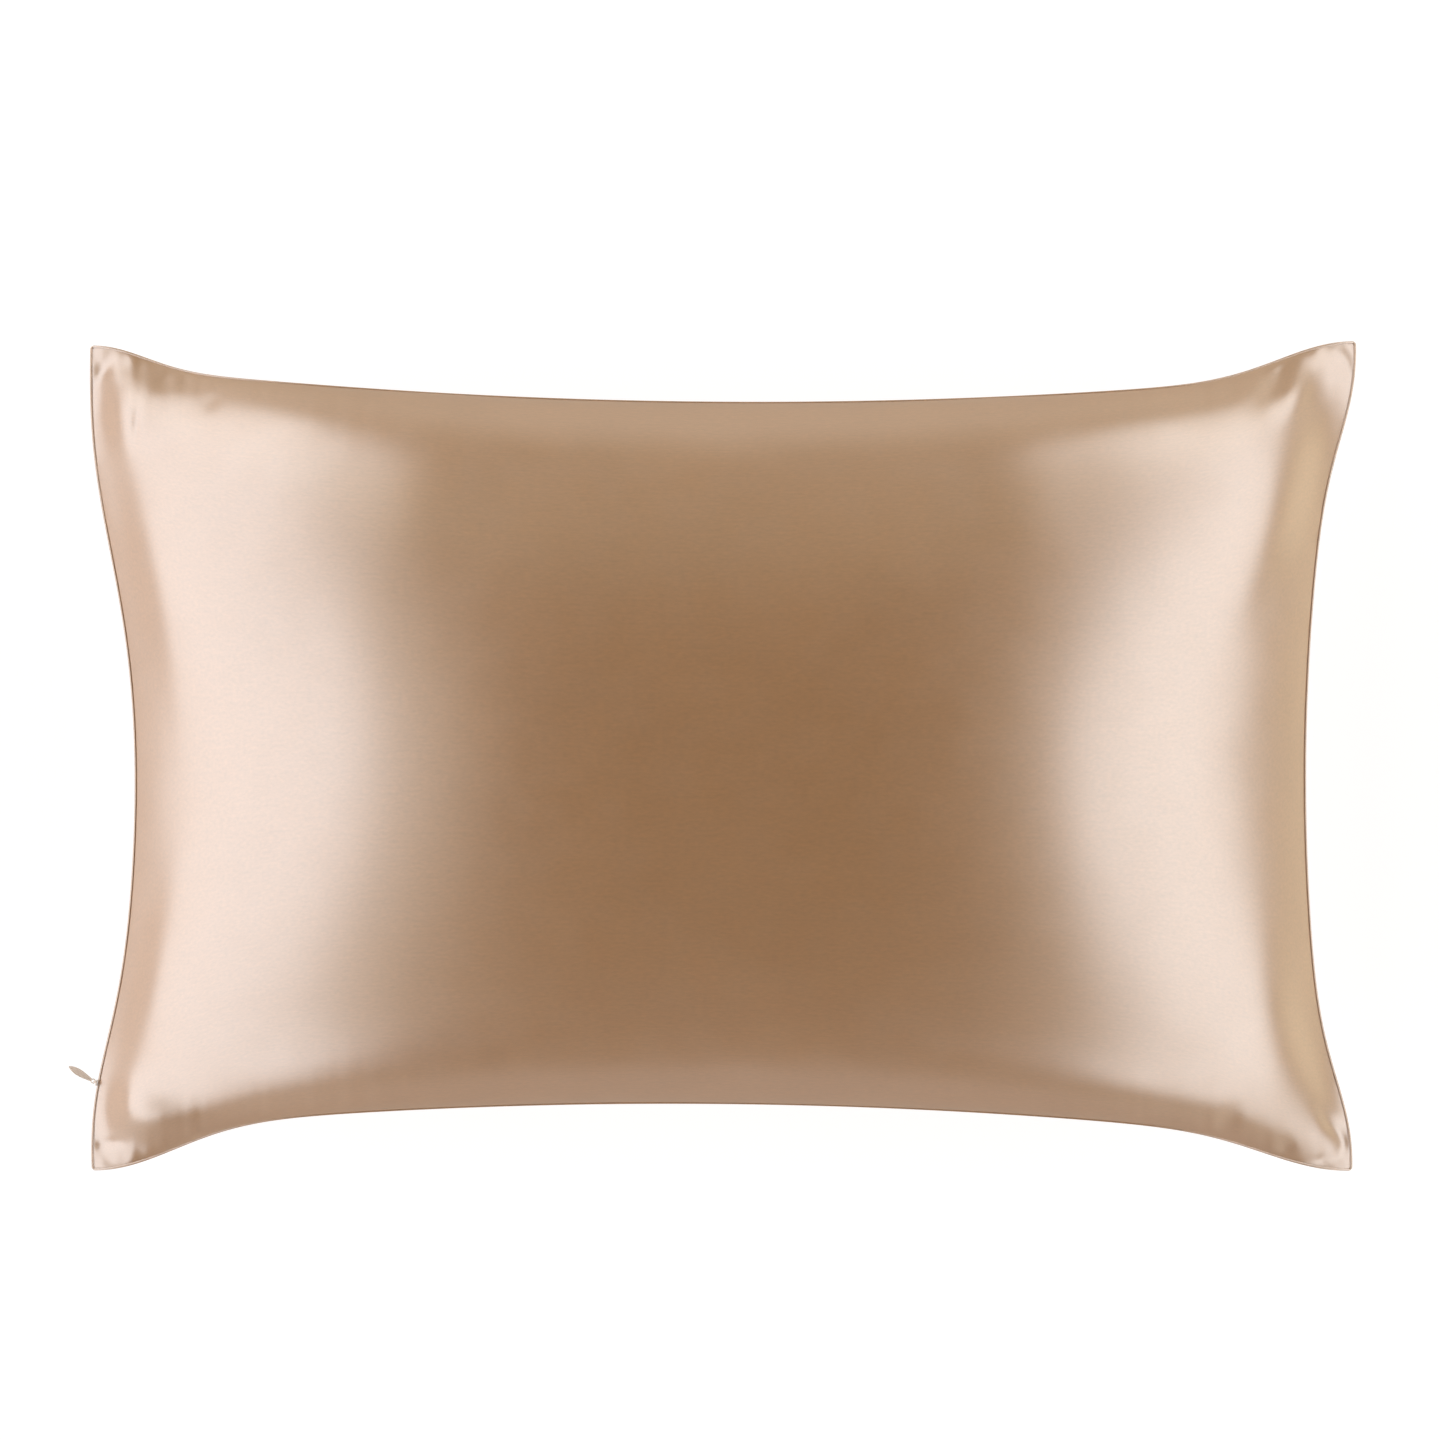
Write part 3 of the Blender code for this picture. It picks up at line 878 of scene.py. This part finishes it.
def zip_place(shape, sizes):
    """The seam's point that the zip comes out of, and the level direction out of the seam."""
    step = 0.001
    fractions = sizes.side_fraction + np.array([-step, 0, step])
    x, y = plan(-np.ones(3), 2 * fractions - 1, shape)
    run = np.array([x[2] - x[0], y[2] - y[0], 0.0])
    outward = unit(np.array([-run[1], run[0], 0.0]))
    return np.array([x[1], y[1], seam_height(x[1], y[1], shape)]), outward


def level_axes(ahead):
    """Three unit vectors as rows: ahead, level and across it, and up."""
    up = np.array([0.0, 0.0, 1.0])
    return np.stack([ahead, np.cross(up, ahead), up])


def rounded_block(size, power=0.35, rings=14, around=28):
    """A closed block with rounded edges: a superellipsoid, whose sines and cosines are raised to
    a power under one. It is worn where all three of its directions share the surface."""
    tilt = np.linspace(-math.pi / 2, math.pi / 2, rings + 2)[1:-1, None]
    turn = np.linspace(0, 2 * math.pi, around, endpoint=False)[None, :]

    def raised(value):
        return np.sign(value) * np.abs(value) ** power

    x = raised(np.cos(tilt)) * raised(np.cos(turn))
    y = raised(np.cos(tilt)) * raised(np.sin(turn))
    z = raised(np.sin(tilt)) * np.ones_like(turn)
    points, faces = closed_tube(np.stack([x, y, z], axis=-1))
    wear = np.clip(np.linalg.norm(points, axis=-1) - 1.15, 0, 0.25) / 0.25
    return Shell(points * np.array(size) / 2, faces, wear)


def bridge_shell(sizes, along=24, around=12):
    """The front half of a ring that stands upright: a circle carried along a half circle."""
    angle = np.linspace(-math.pi / 2, math.pi / 2, along)
    radial = np.stack([np.cos(angle), np.zeros_like(angle), np.sin(angle)], axis=-1)
    level = np.tile([0.0, 1.0, 0.0], (along, 1))
    wire = ellipse(2 * sizes.bridge_wire, 2 * sizes.bridge_wire, around)
    rings = swept(radial * sizes.bridge_radius, radial, level, wire)
    points, faces = closed_tube(rings)
    return Shell(points, faces, np.full(len(points), 0.5))


def leaf_shell(sizes, along=60, around=36):
    """The leaf of the pull, with a shallow recess in both of its faces.

    Its half width is a neck that ends as the root of 1 - t⁴, plus a belly that goes as the sine
    of pi times a power of t. Its section is an ellipse with a flattened top and bottom.
    """
    start = sizes.eye_radius + sizes.eye_rim / 2
    t = np.linspace(0, 0.9995, along)[:, None]
    turn = np.linspace(0, 2 * math.pi, around, endpoint=False)[None, :]
    belly = np.clip(np.sin(math.pi * t**BELLY_PLACE), 0, None) ** 0.9
    half = sizes.neck / 2 * np.sqrt(1 - t**4) + (sizes.width - sizes.neck) / 2 * belly
    depth = sizes.thickness / 2 * np.sqrt(1 - t**10)
    side = np.abs(np.cos(turn))
    ends = np.clip(np.sin(math.pi * t), 0, 1) ** 0.5
    recess = RECESS_DEPTH * np.clip(1 - (side / RECESS_WIDTH) ** 6, 0, 1) * ends
    x = start + (sizes.length - start) * t * np.ones_like(turn)
    y = half * np.cos(turn)
    z = depth * np.sign(np.sin(turn)) * np.abs(np.sin(turn)) ** 0.45 * (1 - recess)
    points, faces = closed_tube(np.stack([x, y, z], axis=-1))
    rim = np.clip((side - 0.75) / 0.2, 0, 1) * np.ones_like(t)
    return Shell(points, faces, np.concatenate([rim.ravel(), [0.0, 1.0]]))


def eye_shell(sizes, along=32, around=12):
    """The ring of the pull's eye: an ellipse carried round a level circle."""
    angle = np.linspace(0, 2 * math.pi, along, endpoint=False)
    radial = np.stack([np.cos(angle), np.sin(angle), np.zeros_like(angle)], axis=-1)
    up = np.tile([0.0, 0.0, 1.0], (along, 1))
    section = ellipse(sizes.eye_rim, sizes.thickness, around)
    rings = swept(radial * (sizes.eye_radius + sizes.eye_rim / 2), radial, up, section)
    index = wrapped(np.arange(along * around).reshape(along, around), rows=True, columns=True)
    return Shell(rings.reshape(-1, 3), grid_quads(index).tolist(), np.full(along * around, 0.6))


def placed(shell, origin, axes):
    """The shell with its X, Y and Z laid along the three axes and its origin moved."""
    return Shell(origin + shell.points @ axes, shell.faces, shell.wear)


def metal_object(name, shells, material):
    """Several shells as one piece, with their wear kept as an attribute."""
    points, faces = joined(*((shell.points, shell.faces) for shell in shells))
    item = mesh_object(name, points, outward(points, faces), material, SHARP_ANGLE)
    attribute = item.data.attributes.new("wear", "FLOAT", "POINT")
    wear = np.concatenate([shell.wear for shell in shells])
    attribute.data.foreach_set("value", wear.astype(np.float32))
    return item


class PILLOWCASE_OT_panels(bpy.types.Operator):
    """Make the front and back panels as one filled, closed shell"""

    bl_idname = "pillowcase.panels"
    bl_label = "Satin Panels"

    def execute(self, context):
        shape = context.scene.pillowcase_shape
        finish = context.scene.pillowcase_satin
        u, v = panel_parameters(shape)
        front, back = front_surface(u, v, shape), back_surface(u, v, shape)
        front_moves, back_moves = cloth_moves(shape, context.scene.pillowcase_settling)
        front, back = front + front_moves, back + back_moves
        back[..., 2] = np.maximum(back[..., 2], 0.0)
        points, faces = closed_shell(front, back)
        case = mesh_object("satin_case", points, faces, satin_material("satin", finish))
        add_cloth_map(case, flat_places(shape))
        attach(case, BODY)
        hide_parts("pillowcase")
        return {"FINISHED"}


class PILLOWCASE_OT_seam(bpy.types.Operator):
    """Make the thin sewn edge that runs round the case"""

    bl_idname = "pillowcase.seam"
    bl_label = "Sewn Edge"

    def execute(self, context):
        shape = context.scene.pillowcase_shape
        finish = context.scene.pillowcase_satin
        path = seam_loop(shape)
        ahead = unit(np.roll(path, -1, axis=0) - np.roll(path, 1, axis=0))
        up = np.array([0.0, 0.0, 1.0])
        out = unit(np.cross(ahead, up))
        profile = ellipse(shape.lip_width, shape.lip_thickness, 14)
        rings = swept(path, out, np.cross(out, ahead), profile)
        index = np.arange(rings.shape[0] * rings.shape[1]).reshape(rings.shape[:2])
        faces = grid_quads(wrapped(index, rows=True, columns=True)).tolist()
        points = rings.reshape(-1, 3)
        lip = mesh_object("sewn_edge", points, faces, satin_material("satin_edge", finish))
        run = np.concatenate([[0], np.cumsum(np.linalg.norm(np.diff(path, axis=0), axis=-1))])
        across = np.linspace(0, 2 * shape.lip_width, len(profile))
        places = np.stack(np.meshgrid(run, across, indexing="ij"), axis=-1)
        add_cloth_map(lip, places.reshape(-1, 2))
        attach(lip, BODY)
        return {"FINISHED"}


class PILLOWCASE_OT_zip(bpy.types.Operator):
    """Make the nose and bridge of the zip's slider, and the leaf-shaped pull in it"""

    bl_idname = "pillowcase.zip"
    bl_label = "Zip Slider and Pull"

    def execute(self, context):
        shape = context.scene.pillowcase_shape
        sizes = context.scene.pillowcase_zip
        seam, outward_way = zip_place(shape, sizes)
        nose_depth = sizes.nose_size[0]
        face = seam + outward_way * (sizes.clearance + nose_depth)
        heading = np.array([math.cos(sizes.heading), math.sin(sizes.heading), 0.0])
        metal = lacquer_material(sizes)
        middle = face - outward_way * nose_depth / 2
        nose = placed(rounded_block(sizes.nose_size), middle, level_axes(outward_way))
        inside = face - outward_way * sizes.bridge_sink
        bridge = placed(bridge_shell(sizes), inside, level_axes(heading))
        slider = metal_object("slider_nose", [nose, bridge], metal)
        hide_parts("zip_slider")

        eye = face + heading * (sizes.clearance + sizes.eye_rim + sizes.eye_radius)
        ahead, across, up = level_axes(heading)
        turned = np.stack([
            ahead,
            across * math.cos(sizes.twist) + up * math.sin(sizes.twist),
            up * math.cos(sizes.twist) - across * math.sin(sizes.twist),
        ])
        leaf = [placed(shell, eye, turned) for shell in (leaf_shell(sizes), eye_shell(sizes))]
        pull = metal_object("pull_leaf", leaf, metal)
        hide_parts("zip_pull")
        for piece in (slider, pull):
            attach(piece, BODY)
        return {"FINISHED"}


# Upright rectangular lamps around the case. The heading is where a lamp stands, from +X towards
# +Y in degrees. Low and high are its edges' heights, and half_length its half length, all as
# shares of its distance. The radiance is the same all over it.
Lamp = namedtuple("Lamp", "heading low high half_length radiance colour")
LAMP_DISTANCE = 2.6
LAMPS = {
    "left": Lamp(180, 0.06, 1.20, 3.0, 2.36, (1.0, 0.99, 1.0)),
    "right": Lamp(0, 0.225, 1.17, 3.4, 2.50, (1.0, 0.98, 0.96)),
    "left_high": Lamp(180, 1.20, 2.30, 3.0, 0.75, (1.0, 0.93, 0.80)),
    "right_high": Lamp(0, 1.17, 2.00, 3.4, 0.35, (1.0, 0.90, 0.70)),
    "top": Lamp(90, 0.00, 1.78, 0.9, 0.20, (1.0, 0.90, 0.65)),
}

# What the satin mirrors where there is no lamp: the dark overhead, and in the lower half of the
# room a pale glow that differs from side to side
ROOM_DARK = (0.004, 0.004, 0.004)
ROOM_LEFT = (1.12, 1.03, 0.99)
ROOM_RIGHT = (1.40, 1.30, 1.00)
ROOM_NEAR = (0.08, 0.09, 0.14)
ROOM_FAR = (0.45, 0.44, 0.38)
ROOM_BACKDROP = (0.8, 0.8, 0.8)
GLOW_START = 0.28
GLOW_FULL = -0.30
GLOW_SPREAD = 0.5

# The view: straight down, with the lens's field this wide at this height
LENS = 260
SENSOR = 36
FIELD_WIDTH = 0.828
FIELD_HEIGHT = 0.065
FIELD_MIDDLE = (-0.0014, 0.0207)


class PILLOWCASE_OT_stage(bpy.types.Operator):
    """Make the pale floor, the soft lamps and the camera above the face"""

    bl_idname = "pillowcase.stage"
    bl_label = "Stage"

    def execute(self, context):
        context.scene.view_settings.view_transform = "Standard"
        self.add_floor(context)
        self.add_room(context)
        for name, lamp in LAMPS.items():
            self.add_lamp(context, name, lamp)
        self.add_camera(context)
        return {"FINISHED"}

    def add_floor(self, context):
        bpy.ops.mesh.primitive_plane_add(size=FLOOR_SIZE)
        floor = context.object
        floor.name = "floor"
        floor.data.materials.append(floor_material())
        floor.visible_glossy = False

    def add_room(self, context):
        """A dark ceiling over a softly lit lower half, with a pale backdrop behind the view."""
        world = bpy.data.worlds.new("dim_room")
        world.use_nodes = True
        tree = world.node_tree
        way = add_node(tree, "TexCoord")
        parts = add_node(tree, "SeparateXYZ", {0: way.outputs["Generated"]})
        low = add_node(tree, "MapRange", {
            "Value": parts.outputs["Z"], "From Min": GLOW_START, "From Max": GLOW_FULL,
            "To Min": 0.0, "To Max": 1.0,
        }, interpolation_type="SMOOTHSTEP")
        halves = [
            worked_out(tree, "MULTIPLY_ADD", parts.outputs[axis], 0.5, 0.5) for axis in ("X", "Y")
        ]
        sideways = worked_out(tree, "ABSOLUTE", parts.outputs["X"])
        glow = blended(
            tree, worked_out(tree, "POWER", sideways, GLOW_SPREAD),
            blended(tree, halves[1], ROOM_NEAR, ROOM_FAR),
            blended(tree, halves[0], ROOM_LEFT, ROOM_RIGHT),
        )
        mirrored = blended(tree, low.outputs["Result"], ROOM_DARK, glow)
        path = add_node(tree, "LightPath")
        seen = blended(tree, path.outputs["Is Camera Ray"], mirrored, ROOM_BACKDROP)
        tree.links.new(seen, tree.nodes["Background"].inputs["Color"])
        context.scene.world = world

    def add_lamp(self, context, name, lamp):
        data = bpy.data.lights.new(name, "AREA")
        data.shape = "RECTANGLE"
        data.size = 2 * lamp.half_length * LAMP_DISTANCE
        data.size_y = (lamp.high - lamp.low) * LAMP_DISTANCE
        data.energy = lamp.radiance * math.pi * data.size * data.size_y
        data.color = lamp.colour
        heading = math.radians(lamp.heading)
        way = Vector((math.cos(heading), math.sin(heading), 0))
        light = bpy.data.objects.new(name, data)
        light.location = way * LAMP_DISTANCE
        light.location.z = (lamp.high + lamp.low) / 2 * LAMP_DISTANCE
        light.rotation_euler = (-way).to_track_quat("-Z", "Y").to_euler()
        light.visible_camera = False
        context.scene.collection.objects.link(light)

    def add_camera(self, context):
        data = bpy.data.cameras.new("camera")
        data.lens = LENS
        data.sensor_width = SENSOR
        camera = bpy.data.objects.new("camera", data)
        distance = LENS / SENSOR * FIELD_WIDTH
        camera.location = (*FIELD_MIDDLE, distance + FIELD_HEIGHT)
        context.scene.collection.objects.link(camera)
        context.scene.camera = camera


class PILLOWCASE_PT_panel(bpy.types.Panel):
    """Lists the pieces of the pillowcase"""

    bl_idname = "PILLOWCASE_PT_panel"
    bl_label = "Pillowcase"
    bl_space_type = "VIEW_3D"
    bl_region_type = "UI"
    bl_category = "Pillowcase"

    def draw(self, context):
        for operator in OPERATORS:
            self.layout.operator(operator.bl_idname)


GROUPS = {
    "pillowcase_shape": PillowcaseShape,
    "pillowcase_settling": ClothSettling,
    "pillowcase_satin": SatinFinish,
    "pillowcase_zip": ZipSizes,
}
OPERATORS = (PILLOWCASE_OT_panels, PILLOWCASE_OT_seam, PILLOWCASE_OT_zip, PILLOWCASE_OT_stage)
CLASSES = (*GROUPS.values(), *OPERATORS, PILLOWCASE_PT_panel)


def register():
    for cls in CLASSES:
        bpy.utils.register_class(cls)
    for name, group in GROUPS.items():
        setattr(bpy.types.Scene, name, PointerProperty(type=group))


def unregister():
    for name in GROUPS:
        delattr(bpy.types.Scene, name)
    for cls in reversed(CLASSES):
        bpy.utils.unregister_class(cls)


def main():
    """Makes every piece and the stage."""
    register()
    bpy.ops.pillowcase.panels()
    bpy.ops.pillowcase.seam()
    bpy.ops.pillowcase.zip()
    bpy.ops.pillowcase.stage()


if __name__ == "__main__":
    main()
